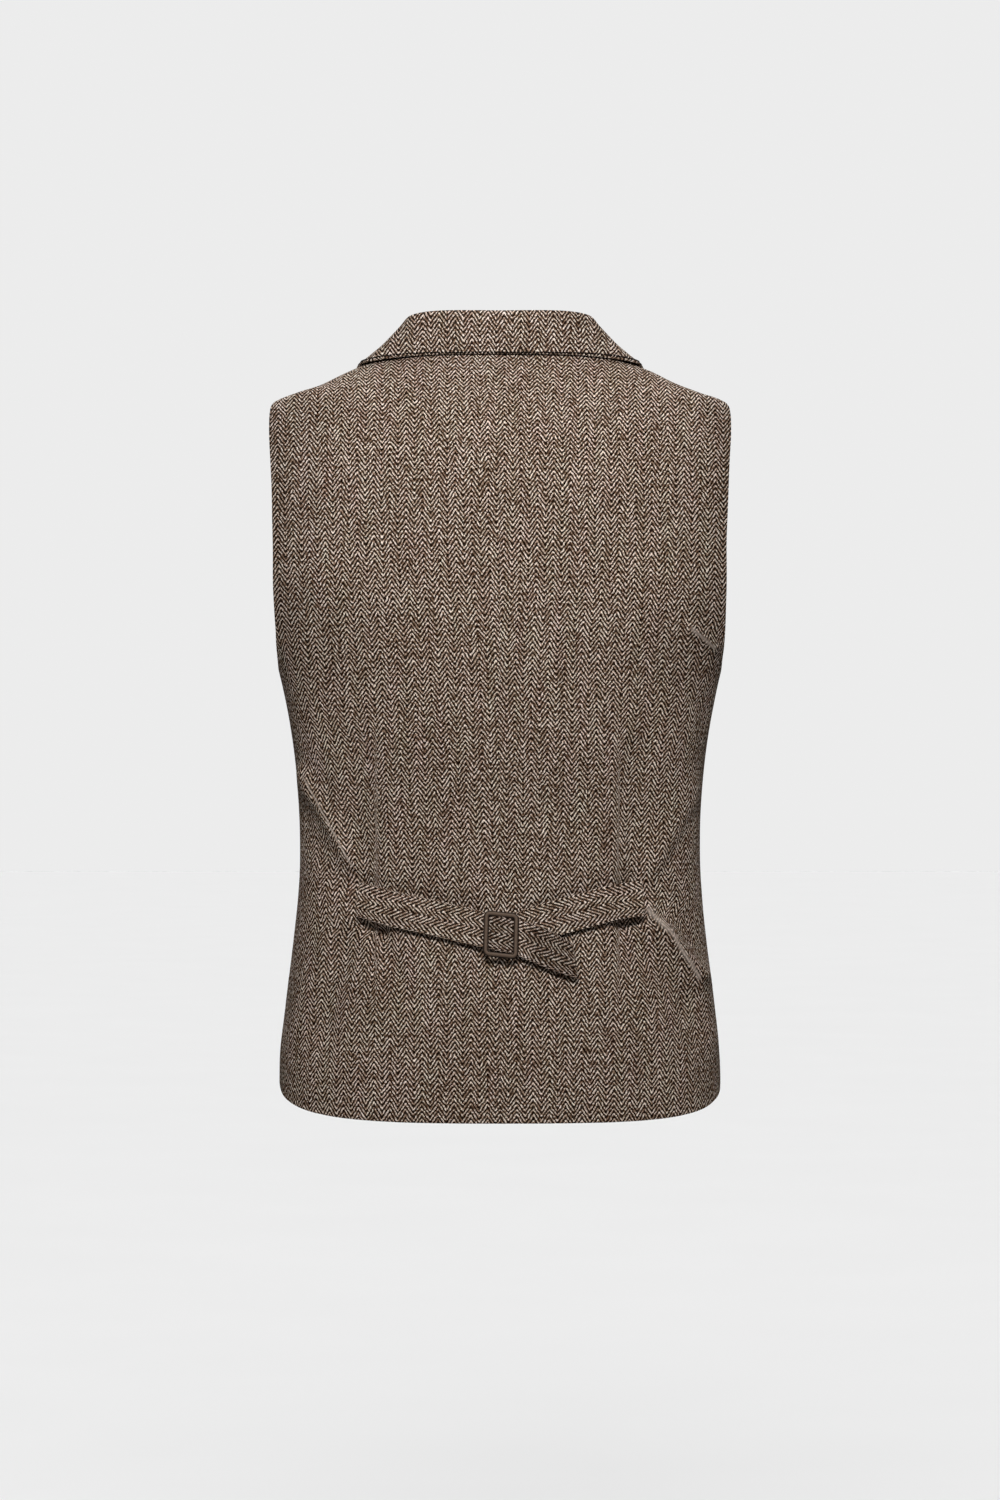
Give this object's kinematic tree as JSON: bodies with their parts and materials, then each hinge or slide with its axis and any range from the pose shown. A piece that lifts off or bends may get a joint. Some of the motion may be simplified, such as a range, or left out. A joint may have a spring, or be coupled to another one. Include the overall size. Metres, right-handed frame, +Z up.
{
  "type": "suit waistcoat",
  "caption": "Sleeveless tweed waistcoat, worn and hollow, with a fold over collar, notch lapels, button front and a buckled cinch strap across the back.",
  "frame": {"origin": "midway between the two points where the shoulder seams meet the neck edge", "axes": "+Z up, -Y the way the front faces, +Y the back, +X the wearer's left"},
  "size_m": [0.3668, 0.2337, 0.6536],
  "materials": {
    "tweed": "soft brown herringbone wool",
    "dark_bronze": "dark bronze, satin",
    "brown_horn": "dark brown horn look"
  },
  "bodies": {
    "root": {"back_left": "tweed", "back_right": "tweed", "front_left": "tweed", "front_right": "tweed", "collar": "tweed", "lapel_left": "tweed", "lapel_right": "tweed", "strap_left": "tweed", "strap_right": "tweed", "buckle": "dark_bronze", "button_1": "brown_horn", "button_2": "brown_horn", "button_3": "brown_horn", "button_4": "brown_horn", "button_5": "brown_horn"}
  },
  "joints": []
}
